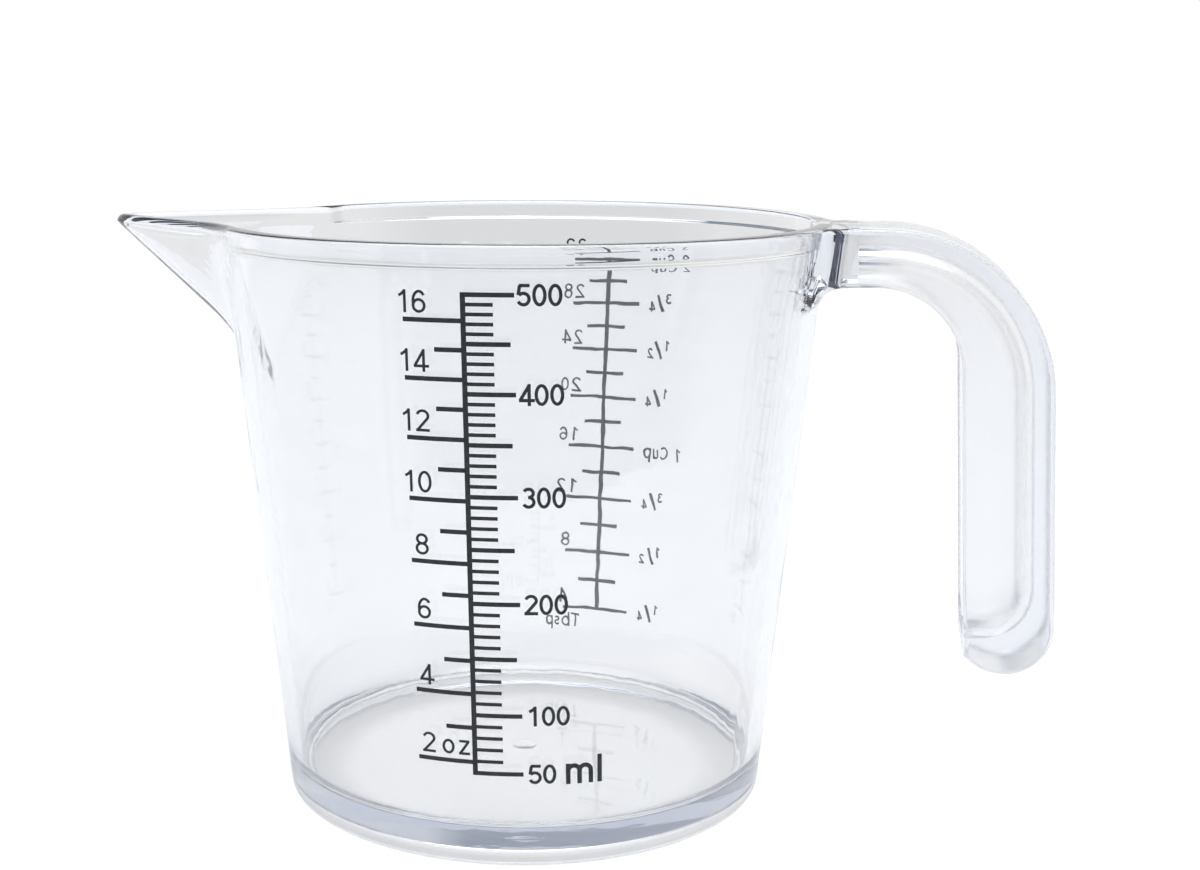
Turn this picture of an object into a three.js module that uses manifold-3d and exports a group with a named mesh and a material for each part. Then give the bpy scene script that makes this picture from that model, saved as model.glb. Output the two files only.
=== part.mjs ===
// A clear moulded measuring cup: a tapered round bowl on a raised floor, with a V-shaped pouring
// spout, a hollow hook handle and a printed volume scale on the front and on the back.
// Millimetres, +Z up. The spout points to -X, the handle to +X, and the front scale faces -Y.
import * as THREE from 'three';
import { mergeVertices } from 'three/addons/utils/BufferGeometryUtils.js';
import Module from 'manifold-3d';

const wasm = await Module();
wasm.setup();

// Bowl
const HEIGHT = 99.06;
const MOUTH_DIAMETER = 98.04;
const WALL = 2.3;
const TAPER = 0.0987; // radius gained for each millimetre of height
const FOOT_HEIGHT = 2.5;
const FOOT_EDGE_RADIUS = 1.6;
const FOOT_RING_WIDTH = 2.6;
const FLOOR_THICKNESS = 3.5;
const FLOOR_FILLET = 2.5;
const RIM_BAND_HEIGHT = 3.4;
const RIM_BAND_STEP = 0.9;
const RIM_EDGE_RADIUS = 0.5;

// Spout
const SPOUT_OVERHANG = 22.7; // wall to the nose, at the rim
const SPOUT_HALF_ANGLE = THREE.MathUtils.degToRad(27); // where its sides meet the rim
const SPOUT_DEPTH = 23.7; // rim to the foot of the keel
const SPOUT_LIP = 1.4; // upright edge above the keel
const SPOUT_NOSE_ANGLE = THREE.MathUtils.degToRad(1.5); // rounding of the nose, seen from the axis
const SPOUT_RIM_BLEND = 3.5; // how far the sides run out into the bowl, at the rim
const SPOUT_FOOT_BLEND = 8.0; // and at the foot of the keel
const SPOUT_PANEL_ANGLE = THREE.MathUtils.degToRad(40); // half of the wall that the spout takes up
const SPOUT_PANEL_DEPTH = 33.0;

// Handle
const FINGER_GAP = 23.9; // widest, from the wall at the rim to the grip
const HANDLE_HEIGHT = 72.9; // rim to the free end
const HANDLE_DROP = 0.2; // rim to the top of the arm
const HANDLE_WIDTH = 20.0;
const HANDLE_EDGE_RADIUS = 1.0;
const ARM_DEPTH = 9.5;
const GRIP_DEPTH = 14.4;
const GRIP_LEAN = THREE.MathUtils.degToRad(2.6);
const OUTER_BEND_RADIUS = 27.0;
const INNER_BEND_RADIUS = 13.9;
const END_CORNER_RISE = 3.0; // free end to the grip's inner corner
const ROOT_LENGTH = 5.0; // solid web between the bowl and the hollow arm
const ROOT_FILLET = 5.0;
const ROOT_TOE = 0.5; // thickness left where the fillet runs out
const BACK_WALL = 3.0;
const SIDE_WALL = 2.2;
const END_WALL = 5.2;
const HOLLOW_END_RADIUS = 8.5;

// Printed scales
const INK_THICKNESS = 0.2;
const INK_LIFT = 0.1; // clearance between the ink and the wall
const LINE_WIDTH = 0.6;
const SPINE_WIDTH = 0.8;
const FILL_MARGIN = 1.05; // volume held at a mark over the volume printed there
const ML_SHORT_TICK = 4.4;
const ML_MIDDLE_TICK = 6.85;
const ML_LONG_TICK = 7.5;
const OZ_SHORT_TICK = 4.45;
const OZ_LONG_TICK = 9.2;
const SPOON_SHORT_TICK = 4.0;
const SPOON_LONG_TICK = 7.0;
const FRONT_SCALE_ANGLE = THREE.MathUtils.degToRad(0.8); // from -Y towards the handle
const BACK_SCALE_ANGLE = THREE.MathUtils.degToRad(9.2); // from +Y towards the handle
const SCALE_RIM_MARGIN = 0.5; // clear wall between the ink and the rim band

const JOINT_GAP = 0.25; // clearance where one piece is cut to fit another
const ROUND_SEGMENTS = 80;
const ARC_SEGMENTS = 10;
const SPOUT_COLUMNS = 32;
const SPOUT_ROWS = 12;

const ML = 1000; // cubic millimetres
const FLUID_OUNCE = 29.5735 * ML;
const TABLESPOON = FLUID_OUNCE / 2;

const floorTop = FOOT_HEIGHT + FLOOR_THICKNESS;
const bandBottom = HEIGHT - RIM_BAND_HEIGHT;
const spoutReach = outerRadius(HEIGHT) + SPOUT_OVERHANG;
const handleReach = outerRadius(HEIGHT) + FINGER_GAP + GRIP_DEPTH;
const rightAngle = Math.PI / 2;

function outerRadius(z) {
  return MOUTH_DIAMETER / 2 + WALL - TAPER * (HEIGHT - z);
}

function innerRadius(z) {
  return outerRadius(z) - WALL;
}

// Level of a given volume of liquid in the tapered bowl.
function fillHeight(volume) {
  const floorRadius = innerRadius(floorTop);
  const surfaceRadius = Math.cbrt(floorRadius ** 3 + (3 * TAPER * volume) / Math.PI);
  return floorTop + (surfaceRadius - floorRadius) / TAPER;
}

function markHeight(printedVolume) {
  return fillHeight(printedVolume * FILL_MARGIN);
}

// Turns a closed geometry into a solid with its faces pointing out.
function solid(geometry) {
  const bare = new THREE.BufferGeometry();
  bare.setAttribute('position', geometry.getAttribute('position'));
  bare.setIndex(geometry.getIndex());
  const merged = mergeVertices(bare);
  const vertProperties = Float32Array.from(merged.getAttribute('position').array);
  const triVerts = Uint32Array.from(merged.getIndex().array);
  const made = new wasm.Manifold(new wasm.Mesh({ numProp: 3, vertProperties, triVerts }));
  if (made.volume() > 0) {
    return made;
  }
  triVerts.reverse();
  return new wasm.Manifold(new wasm.Mesh({ numProp: 3, vertProperties, triVerts }));
}

function geometryOf(body) {
  const { vertProperties, triVerts } = body.getMesh();
  const geometry = new THREE.BufferGeometry();
  geometry.setAttribute('position', new THREE.BufferAttribute(vertProperties, 3));
  geometry.setIndex(new THREE.BufferAttribute(triVerts, 1));
  geometry.computeVertexNormals();
  return geometry;
}

// Revolves a closed outline of [radius, height] points about the cup axis.
function revolve(outline) {
  const points = outline.map(([radius, z]) => new THREE.Vector2(radius, z));
  points.push(points[0].clone());
  const geometry = new THREE.LatheGeometry(points, ROUND_SEGMENTS);
  geometry.rotateX(rightAngle);
  return solid(geometry);
}

// Points on an arc, in the plane of radius and height.
function arc(centreX, centreZ, radius, from, to, steps = 4) {
  const points = [];
  for (let i = 0; i <= steps; i += 1) {
    const angle = THREE.MathUtils.lerp(from, to, i / steps);
    points.push([centreX + radius * Math.cos(angle), centreZ + radius * Math.sin(angle)]);
  }
  return points;
}

// Extrudes a shape drawn in X and Z by a width centred on the plane Y = 0.
function extrudeAcross(shape, width, edgeRadius = 0) {
  const geometry = new THREE.ExtrudeGeometry(shape, {
    depth: width - 2 * edgeRadius,
    curveSegments: ARC_SEGMENTS,
    bevelEnabled: edgeRadius > 0,
    bevelSize: edgeRadius,
    bevelThickness: edgeRadius,
    bevelOffset: -edgeRadius,
    bevelSegments: 3,
  });
  geometry.rotateX(rightAngle);
  geometry.translate(0, width / 2 - edgeRadius, 0);
  return solid(geometry);
}

function block(fromX, toX) {
  const size = 4 * HEIGHT;
  const geometry = new THREE.BoxGeometry(toX - fromX, size, size);
  geometry.translate((fromX + toX) / 2, 0, 0);
  return solid(geometry);
}

// The ring that the cup stands on, below the raised floor.
function footRing() {
  const inside = outerRadius(0) - FOOT_RING_WIDTH;
  const edgeCentre = outerRadius(FOOT_EDGE_RADIUS) - FOOT_EDGE_RADIUS;
  return revolve([
    [inside, 0],
    ...arc(edgeCentre, FOOT_EDGE_RADIUS, FOOT_EDGE_RADIUS, -rightAngle, 0),
    [outerRadius(FOOT_HEIGHT), FOOT_HEIGHT],
    [inside, FOOT_HEIGHT],
  ]);
}

function floorDisc() {
  return revolve([
    [0, FOOT_HEIGHT],
    [outerRadius(FOOT_HEIGHT), FOOT_HEIGHT],
    [outerRadius(floorTop), floorTop],
    [0, floorTop],
  ]);
}

// A wedge that takes the spout's share out of the wall and the rim.
function spoutNotch() {
  const halfAngle = SPOUT_PANEL_ANGLE + JOINT_GAP / innerRadius(HEIGHT - SPOUT_PANEL_DEPTH);
  const reach = 2 * spoutReach;
  const wedge = new THREE.Shape();
  wedge.moveTo(0, 0);
  wedge.lineTo(-reach * Math.cos(halfAngle), reach * Math.sin(halfAngle));
  wedge.lineTo(-reach * Math.cos(halfAngle), -reach * Math.sin(halfAngle));
  wedge.closePath();
  const geometry = new THREE.ExtrudeGeometry(wedge, { depth: HEIGHT, bevelEnabled: false });
  geometry.translate(0, 0, HEIGHT - SPOUT_PANEL_DEPTH - JOINT_GAP);
  return solid(geometry);
}

function bowlWall() {
  const filletZ = floorTop + FLOOR_FILLET;
  const filletX = innerRadius(filletZ) - FLOOR_FILLET;
  const ring = revolve([
    [outerRadius(floorTop), floorTop],
    [outerRadius(bandBottom), bandBottom],
    [innerRadius(bandBottom), bandBottom],
    ...arc(filletX, filletZ, FLOOR_FILLET, 0, -rightAngle),
  ]);
  return ring.subtract(spoutNotch());
}

function rimBand() {
  const outside = outerRadius(HEIGHT) + RIM_BAND_STEP;
  const topZ = HEIGHT - RIM_EDGE_RADIUS;
  const ring = revolve([
    [innerRadius(bandBottom), bandBottom],
    [outerRadius(bandBottom) + RIM_BAND_STEP, bandBottom],
    ...arc(outside - RIM_EDGE_RADIUS, topZ, RIM_EDGE_RADIUS, 0, rightAngle),
    ...arc(innerRadius(HEIGHT) + RIM_EDGE_RADIUS, topZ, RIM_EDGE_RADIUS, rightAngle, Math.PI),
  ]);
  return ring.subtract(spoutNotch());
}

// The larger of two values, rounded off where they are closer than the blend.
function smoothMax(a, b, blend) {
  const near = Math.max(blend - Math.abs(a - b), 0) / blend;
  return Math.max(a, b) + (near * near * blend) / 4;
}

// A panel of the wall with the spout drawn out of it: two flat sides that meet in a sloping keel.
function pouringSpout() {
  const rimRadius = outerRadius(HEIGHT);
  const cornerX = rimRadius * Math.cos(SPOUT_HALF_ANGLE);
  const cornerY = rimRadius * Math.sin(SPOUT_HALF_ANGLE);
  const sideAngle = Math.atan2(cornerY, spoutReach - cornerX);
  const lipZ = HEIGHT - SPOUT_LIP;
  const keelSlope = (spoutReach - outerRadius(HEIGHT - SPOUT_DEPTH)) / (SPOUT_DEPTH - SPOUT_LIP);
  const sideLean = keelSlope * Math.sin(sideAngle);
  const keelThickness = (WALL * Math.hypot(1, sideLean)) / Math.sin(sideAngle);

  function sideRadius(angle, keelReach) {
    const rounded = Math.hypot(angle, SPOUT_NOSE_ANGLE);
    return (keelReach * Math.sin(sideAngle + SPOUT_NOSE_ANGLE)) / Math.sin(sideAngle + rounded);
  }

  // Rows run evenly up to the lip, and the last one is the rim.
  function rowHeight(row) {
    return THREE.MathUtils.lerp(HEIGHT - SPOUT_PANEL_DEPTH, lipZ, row / (SPOUT_ROWS - 1));
  }

  function blendAt(z) {
    const depth = Math.min((HEIGHT - z) / SPOUT_DEPTH, 1);
    return THREE.MathUtils.lerp(SPOUT_RIM_BLEND, SPOUT_FOOT_BLEND, depth);
  }

  const positions = [];
  const faces = [];
  const layer = (SPOUT_COLUMNS + 1) * (SPOUT_ROWS + 1);
  const at = (column, row, skin) => skin * layer + row * (SPOUT_COLUMNS + 1) + column;
  const quad = (a, b, c, d) => faces.push(a, b, c, a, c, d);

  for (const [skin, wallRadius, inset] of [[0, outerRadius, 0], [1, innerRadius, keelThickness]]) {
    for (let row = 0; row <= SPOUT_ROWS; row += 1) {
      const z = row === SPOUT_ROWS ? HEIGHT : rowHeight(row);
      const keelReach = spoutReach - keelSlope * Math.max(lipZ - z, 0) - inset;
      const blend = blendAt(z);
      for (let column = 0; column <= SPOUT_COLUMNS; column += 1) {
        const angle = SPOUT_PANEL_ANGLE * ((2 * column) / SPOUT_COLUMNS - 1);
        const radius = smoothMax(wallRadius(z), sideRadius(angle, keelReach), blend);
        positions.push(-radius * Math.cos(angle), radius * Math.sin(angle), z);
      }
    }
  }
  for (let row = 0; row < SPOUT_ROWS; row += 1) {
    for (let column = 0; column < SPOUT_COLUMNS; column += 1) {
      const corners = [[column, row], [column + 1, row], [column + 1, row + 1], [column, row + 1]];
      quad(...corners.map(([c, r]) => at(c, r, 0)));
      quad(...corners.reverse().map(([c, r]) => at(c, r, 1)));
    }
  }
  for (let column = 0; column < SPOUT_COLUMNS; column += 1) {
    quad(at(column, 0, 1), at(column + 1, 0, 1), at(column + 1, 0, 0), at(column, 0, 0));
    quad(at(column, SPOUT_ROWS, 0), at(column + 1, SPOUT_ROWS, 0),
      at(column + 1, SPOUT_ROWS, 1), at(column, SPOUT_ROWS, 1));
  }
  for (let row = 0; row < SPOUT_ROWS; row += 1) {
    quad(at(0, row, 1), at(0, row, 0), at(0, row + 1, 0), at(0, row + 1, 1));
    quad(at(SPOUT_COLUMNS, row, 0), at(SPOUT_COLUMNS, row, 1),
      at(SPOUT_COLUMNS, row + 1, 1), at(SPOUT_COLUMNS, row + 1, 0));
  }
  const geometry = new THREE.BufferGeometry();
  geometry.setAttribute('position', new THREE.Float32BufferAttribute(positions, 3));
  geometry.setIndex(faces);
  return solid(geometry);
}

// Lines and arcs that the handle's outline and its hollow share.
const armTop = HEIGHT - HANDLE_DROP;
const armUnderside = armTop - ARM_DEPTH;
const rootEnd = outerRadius(HEIGHT) + ROOT_LENGTH;
// Round of the free end: tangent to the back and to the bottom, and cut off by the inner face.
const endRadius = GRIP_DEPTH + END_CORNER_RISE - Math.sqrt(2 * GRIP_DEPTH * END_CORNER_RISE);
const endX = handleReach - endRadius;
const endZ = HEIGHT - HANDLE_HEIGHT + endRadius;

// X of the centre of a bend that runs tangent into a line parallel to the back of the grip.
function bendCentreX(bendZ, bendRadius, depthBehindBack) {
  const lift = Math.sin(GRIP_LEAN) * (endZ - bendZ);
  return endX + (lift + endRadius - depthBehindBack - bendRadius) / Math.cos(GRIP_LEAN);
}

const outerBendZ = armTop - OUTER_BEND_RADIUS;
const outerBendX = bendCentreX(outerBendZ, OUTER_BEND_RADIUS, 0);
const innerBendZ = armUnderside - INNER_BEND_RADIUS;
const innerBendX = bendCentreX(innerBendZ, INNER_BEND_RADIUS, GRIP_DEPTH);

// The whole handle seen from the side, running on into the bowl.
function handleOutline() {
  const toeZ = armUnderside - ROOT_FILLET;
  const toeX = outerRadius(toeZ) + ROOT_TOE;
  const endSweep = Math.acos((endRadius - GRIP_DEPTH) / endRadius);
  const outline = new THREE.Shape();
  outline.moveTo(0, armTop);
  outline.lineTo(outerBendX, armTop);
  outline.absarc(outerBendX, outerBendZ, OUTER_BEND_RADIUS, rightAngle, GRIP_LEAN, true);
  outline.absarc(endX, endZ, endRadius, GRIP_LEAN, GRIP_LEAN - endSweep, true);
  outline.absarc(innerBendX, innerBendZ, INNER_BEND_RADIUS, GRIP_LEAN, rightAngle, false);
  outline.absarc(toeX + ROOT_FILLET, toeZ, ROOT_FILLET, rightAngle, Math.PI, false);
  outline.lineTo(0, toeZ);
  outline.closePath();
  return outline;
}

// A point at a depth in from the grip's back, and at a drop below the middle of its round end.
function inGrip(depth, drop) {
  const out = endRadius - depth;
  const cos = Math.cos(GRIP_LEAN);
  const sin = Math.sin(GRIP_LEAN);
  return [endX + out * cos + drop * sin, endZ + out * sin - drop * cos];
}

// The hollow of the handle, open towards the bowl.
function channelOutline() {
  const centreDepth = BACK_WALL + HOLLOW_END_RADIUS;
  const centreDrop = endRadius - END_WALL - HOLLOW_END_RADIUS;
  const [centreX, centreZ] = inGrip(centreDepth, centreDrop);
  const outline = new THREE.Shape();
  outline.moveTo(0, armTop - BACK_WALL);
  outline.lineTo(outerBendX, armTop - BACK_WALL);
  outline.absarc(outerBendX, outerBendZ, OUTER_BEND_RADIUS - BACK_WALL, rightAngle, GRIP_LEAN, true);
  outline.absarc(centreX, centreZ, HOLLOW_END_RADIUS, GRIP_LEAN, GRIP_LEAN - rightAngle, true);
  outline.lineTo(0, centreZ - HOLLOW_END_RADIUS * Math.cos(GRIP_LEAN));
  outline.closePath();
  return outline;
}

function handleBody() {
  return extrudeAcross(handleOutline(), HANDLE_WIDTH, HANDLE_EDGE_RADIUS);
}

// The solid web that carries the handle on the outside of the bowl.
function handleRoot() {
  const bandRadius = outerRadius(HEIGHT) + RIM_BAND_STEP + JOINT_GAP;
  const bowlSpace = revolve([
    [0, 0],
    [outerRadius(0) + JOINT_GAP, 0],
    [outerRadius(bandBottom) + JOINT_GAP, bandBottom - JOINT_GAP],
    [bandRadius, bandBottom - JOINT_GAP],
    [bandRadius, HEIGHT + JOINT_GAP],
    [0, HEIGHT + JOINT_GAP],
  ]);
  return handleBody().subtract(bowlSpace).subtract(block(rootEnd, 2 * handleReach));
}

function handleGrip() {
  const channel = extrudeAcross(channelOutline(), HANDLE_WIDTH - 2 * SIDE_WALL);
  return handleBody().subtract(block(-handleReach, rootEnd)).subtract(channel);
}

// A spine with ticks on both sides, drawn flat with X across and Z up.
// Each tick is [height, length]; both lists run from the lowest tick to the highest.
function ladderOutline(rightTicks, leftTicks) {
  const heights = [...rightTicks, ...leftTicks].map(([z]) => z);
  const bottom = Math.min(...heights) - LINE_WIDTH / 2;
  const top = Math.max(...heights) + LINE_WIDTH / 2;
  const spine = SPINE_WIDTH / 2;
  const points = [[spine, bottom]];
  for (const [z, length] of rightTicks) {
    const [low, high] = [z - LINE_WIDTH / 2, z + LINE_WIDTH / 2];
    points.push([spine, low], [length, low], [length, high], [spine, high]);
  }
  points.push([spine, top], [-spine, top]);
  for (const [z, length] of leftTicks.toReversed()) {
    const [low, high] = [z - LINE_WIDTH / 2, z + LINE_WIDTH / 2];
    points.push([-spine, high], [-length, high], [-length, low], [-spine, low]);
  }
  points.push([-spine, bottom]);
  const distinct = points.filter((point, i) => {
    const [x, z] = points[(i + 1) % points.length];
    return Math.hypot(point[0] - x, point[1] - z) > LINE_WIDTH / 100;
  });
  return new THREE.Shape(distinct.map(([x, z]) => new THREE.Vector2(x, z)));
}

// A layer of ink on the outside of the bowl, left only where the ladder covers it.
function printedScale(outline, turn) {
  const low = floorTop;
  const high = bandBottom - SCALE_RIM_MARGIN;
  const ink = revolve([
    [outerRadius(low) + INK_LIFT, low],
    [outerRadius(low) + INK_LIFT + INK_THICKNESS, low],
    [outerRadius(high) + INK_LIFT + INK_THICKNESS, high],
    [outerRadius(high) + INK_LIFT, high],
  ]);
  const geometry = new THREE.ExtrudeGeometry(outline, { depth: MOUTH_DIAMETER, bevelEnabled: false });
  geometry.rotateX(rightAngle);
  geometry.rotateZ(turn);
  return ink.intersect(solid(geometry));
}

// Millilitres to the right of the spine and fluid ounces to the left.
function frontScale() {
  const millilitres = [];
  for (let volume = 50; volume <= 500; volume += 10) {
    let length = ML_SHORT_TICK;
    if (volume % 50 === 0) {
      length = volume % 100 === 0 || volume === 50 ? ML_LONG_TICK : ML_MIDDLE_TICK;
    }
    millilitres.push([markHeight(volume * ML), length]);
  }
  const ounces = [];
  for (let volume = 2; volume <= 16; volume += 1) {
    ounces.push([markHeight(volume * FLUID_OUNCE), volume % 2 === 0 ? OZ_LONG_TICK : OZ_SHORT_TICK]);
  }
  return printedScale(ladderOutline(millilitres, ounces), FRONT_SCALE_ANGLE);
}

// Tablespoons and cups share the same ticks on both sides of the spine.
function backScale() {
  const spoons = [];
  for (let volume = 4; volume <= 32; volume += 2) {
    spoons.push([markHeight(volume * TABLESPOON), volume % 4 === 0 ? SPOON_LONG_TICK : SPOON_SHORT_TICK]);
  }
  return printedScale(ladderOutline(spoons, spoons), Math.PI - BACK_SCALE_ANGLE);
}

function clearPlastic() {
  return new THREE.MeshStandardMaterial({
    color: 0xe2e7ee,
    roughness: 0.08,
    metalness: 0,
    transparent: true,
    opacity: 0.4,
  });
}

function blackInk() {
  return new THREE.MeshStandardMaterial({ color: 0x14171c, roughness: 0.55, metalness: 0 });
}

const cup = new THREE.Group();
// The origin is under the middle of the whole length, so the bowl stands a little towards the spout.
cup.position.x = (spoutReach - handleReach) / 2;

function addPiece(name, body, material) {
  const mesh = new THREE.Mesh(geometryOf(body), material);
  mesh.name = name;
  cup.add(mesh);
}

addPiece('foot_ring', footRing(), clearPlastic());
addPiece('floor_disc', floorDisc(), clearPlastic());
addPiece('bowl_wall', bowlWall(), clearPlastic());
addPiece('rim_band', rimBand(), clearPlastic());
addPiece('pouring_spout', pouringSpout(), clearPlastic());
addPiece('handle_root', handleRoot(), clearPlastic());
addPiece('handle_grip', handleGrip(), clearPlastic());
addPiece('front_scale', frontScale(), blackInk());
addPiece('back_scale', backScale(), blackInk());

const measuringCup = new THREE.Group();
measuringCup.add(cup);

export default measuringCup;
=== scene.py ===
import math

import bmesh
import bpy
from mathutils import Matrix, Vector


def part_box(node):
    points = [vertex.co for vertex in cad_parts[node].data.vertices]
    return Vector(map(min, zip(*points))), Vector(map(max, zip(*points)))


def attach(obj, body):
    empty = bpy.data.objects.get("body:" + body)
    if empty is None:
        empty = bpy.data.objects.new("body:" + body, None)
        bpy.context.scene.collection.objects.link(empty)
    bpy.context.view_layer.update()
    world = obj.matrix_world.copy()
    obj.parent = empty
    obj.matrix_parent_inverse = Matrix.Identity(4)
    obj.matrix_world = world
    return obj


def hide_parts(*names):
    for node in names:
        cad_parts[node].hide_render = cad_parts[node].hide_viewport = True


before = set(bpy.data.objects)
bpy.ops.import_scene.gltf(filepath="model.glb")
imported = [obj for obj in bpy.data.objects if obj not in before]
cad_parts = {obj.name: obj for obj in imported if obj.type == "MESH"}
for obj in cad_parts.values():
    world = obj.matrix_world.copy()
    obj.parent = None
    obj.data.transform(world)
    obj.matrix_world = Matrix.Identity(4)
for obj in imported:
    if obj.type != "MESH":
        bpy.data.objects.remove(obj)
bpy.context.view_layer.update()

MM = 0.001

# Sizes read from the frame. The cup's own axis stands at AXIS_X, and the spout points to -X.
floor_low, floor_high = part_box("floor_disc")
band_low, band_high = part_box("rim_band")
grip_low, grip_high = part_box("handle_grip")
AXIS_X = (floor_low.x + floor_high.x) / 2
FOOT_HEIGHT = floor_low.z
FLOOR_TOP = floor_high.z
BAND_BOTTOM = band_low.z
HEIGHT = band_high.z
TAPER = (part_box("bowl_wall")[1].y - floor_high.y) / (BAND_BOTTOM - FLOOR_TOP)
SPOUT_REACH = AXIS_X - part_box("pouring_spout")[0].x
HANDLE_REACH = grip_high.x - AXIS_X
HANDLE_HALF_WIDTH = grip_high.y
HANDLE_END_Z = grip_low.z
ARM_TOP = grip_high.z
ROOT_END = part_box("handle_root")[1].x - AXIS_X

# Bowl
WALL = 2.3 * MM
FOOT_EDGE_RADIUS = 1.6 * MM
FOOT_RING_WIDTH = 2.6 * MM
FOOT_INNER_RADIUS = 0.6 * MM
FLOOR_FILLET = 2.5 * MM
BAND_STEP = 0.9 * MM
BAND_FILLET = BAND_STEP / 2
RIM_EDGE_RADIUS = 0.8 * MM
RIM_EDGE_POWER = 0.55
BAND_END_ANGLE = math.radians(30)
BAND_FULL_ANGLE = math.radians(37)
GATE_RADIUS = 2.2 * MM
GATE_RISE = 0.2 * MM

# Spout
SPOUT_DEPTH = 23.7 * MM
SPOUT_LIP = 1.4 * MM
SPOUT_HALF_ANGLE = math.radians(25.5)
SPOUT_NOSE_ANGLE = math.radians(2.2)
SPOUT_INNER_NOSE_ANGLE = math.radians(1.3)
SPOUT_RIM_BLEND = 4.5 * MM
SPOUT_FOOT_BLEND = 8.0 * MM
SPOUT_EDGE_RADIUS = 1.3 * MM
SPOUT_FADE_START = math.radians(48)
SPOUT_FADE_END = math.radians(66)

# Handle
ARM_DEPTH = 9.5 * MM
GRIP_DEPTH = 14.4 * MM
GRIP_LEAN = math.radians(2.6)
OUTER_BEND_RADIUS = 27.0 * MM
INNER_BEND_RADIUS = 13.9 * MM
END_CORNER_RISE = 3.0 * MM
BACK_WALL = 3.0 * MM
SIDE_WALL = 2.2 * MM
HOLLOW_END_RADIUS = 8.5 * MM
HOLLOW_END_WALL = 5.2 * MM
HOLLOW_RUN_OUT = 6.0 * MM
ROOT_FILLET = 5.0 * MM
ROOT_SIDE_FLARE = 6.5 * MM
ROOT_START = 4.2 * MM
ROOT_TOE = 0.1 * MM
ROOT_SINK = 1.2 * MM
HANDLE_EDGE_RADIUS = 0.95 * MM
HOLLOW_EDGE_RADIUS = 4.0 * MM
EDGE_ANGLE = math.radians(50)

# Ink
INK_SINK = 0.02 * MM
INK_PROUD = 0.06 * MM
SPINE_WIDTH = 0.78 * MM
FILL_MARGIN = 1.05
FRONT_SCALE_ANGLE = math.radians(0.8)
BACK_SCALE_ANGLE = math.radians(9.2)
MILLILITRE = 1e-6
FLUID_OUNCE = 29.5735 * MILLILITRE
TABLESPOON = FLUID_OUNCE / 2

SMOOTH_ANGLE = math.radians(40)


# Helpers
def lerp(a, b, t):
    return a + (b - a) * t


def steps(low, high, count):
    return [lerp(low, high, i / count) for i in range(count + 1)]


def smoothstep(low, high, value):
    t = min(max((value - low) / (high - low), 0.0), 1.0)
    return t * t * (3 - 2 * t)


def smooth_max(a, b, blend):
    near = max(blend - abs(a - b), 0.0) / blend
    return max(a, b) + near * near * blend / 4


def arc(centre_x, centre_z, radius, start, end, count):
    angles = steps(start, end, count)
    return [(centre_x + radius * math.cos(a), centre_z + radius * math.sin(a)) for a in angles]


def link(name, mesh):
    piece = bpy.data.objects.new(name, mesh)
    bpy.context.scene.collection.objects.link(piece)
    return piece


def new_object(name, vertices, faces):
    """A mesh object from points in the cup's own frame."""
    mesh = bpy.data.meshes.new(name)
    mesh.from_pydata([(AXIS_X + x, y, z) for x, y, z in vertices], [], faces)
    mesh.validate()
    bm = bmesh.new()
    bm.from_mesh(mesh)
    bmesh.ops.recalc_face_normals(bm, faces=bm.faces)
    bm.to_mesh(mesh)
    bm.free()
    return link(name, mesh)


def apply_modifiers(piece):
    """Replaces a piece's mesh by what its modifiers make of it."""
    depsgraph = bpy.context.evaluated_depsgraph_get()
    made = bpy.data.meshes.new_from_object(piece.evaluated_get(depsgraph))
    piece.modifiers.clear()
    piece.data = made


def combine(piece, others, operation):
    """Joins closed pieces to a closed piece without inner walls, or cuts them out of it."""
    for other in others:
        step = piece.modifiers.new(operation, "BOOLEAN")
        step.operation = operation
        step.solver = "MANIFOLD"
        step.object = other
    apply_modifiers(piece)
    for other in others:
        bpy.data.objects.remove(other)
    return piece


# Bowl and spout
def outer_radius(z):
    return floor_high.y + TAPER * (z - FLOOR_TOP)


def inner_radius(z):
    return outer_radius(z) - WALL


corner_x = outer_radius(HEIGHT) * math.cos(SPOUT_HALF_ANGLE)
corner_y = outer_radius(HEIGHT) * math.sin(SPOUT_HALF_ANGLE)
side_angle = math.atan2(corner_y - SPOUT_REACH * math.sin(SPOUT_NOSE_ANGLE),
                        SPOUT_REACH * math.cos(SPOUT_NOSE_ANGLE) - corner_x)
lip_z = HEIGHT - SPOUT_LIP
# The flat sides would meet in a sharp keel, a little beyond the rounded one.
nose_share = math.sin(side_angle) / math.sin(side_angle + SPOUT_NOSE_ANGLE)
sharp_reach = SPOUT_REACH / nose_share
sharp_foot = outer_radius(HEIGHT - SPOUT_DEPTH) / nose_share
keel_slope = (sharp_reach - sharp_foot) / (SPOUT_DEPTH - SPOUT_LIP)
keel_inset = WALL * math.hypot(1, keel_slope * math.sin(side_angle)) / math.sin(side_angle)


def with_spout(wall_radius, angle, z, inset, nose_angle):
    """Radius of the wall at an angle from the spout, drawn out where the spout is."""
    angle = abs(angle)
    if angle > SPOUT_FADE_END:
        return wall_radius
    sharp_keel = sharp_reach - keel_slope * max(lip_z - z, 0.0) - inset
    turn = min(side_angle + math.hypot(angle, nose_angle), math.pi / 2)
    side = sharp_keel * math.sin(side_angle) / math.sin(turn)
    depth = min((HEIGHT - z) / SPOUT_DEPTH, 1.0)
    drawn = smooth_max(wall_radius, side, lerp(SPOUT_RIM_BLEND, SPOUT_FOOT_BLEND, depth))
    return lerp(drawn, wall_radius, smoothstep(SPOUT_FADE_START, SPOUT_FADE_END, angle))


def outer_wall(angle, z):
    return with_spout(outer_radius(z), angle, z, 0.0, SPOUT_NOSE_ANGLE)


def inner_wall(angle, z):
    return with_spout(inner_radius(z), angle, z, keel_inset, SPOUT_INNER_NOSE_ANGLE)


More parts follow.
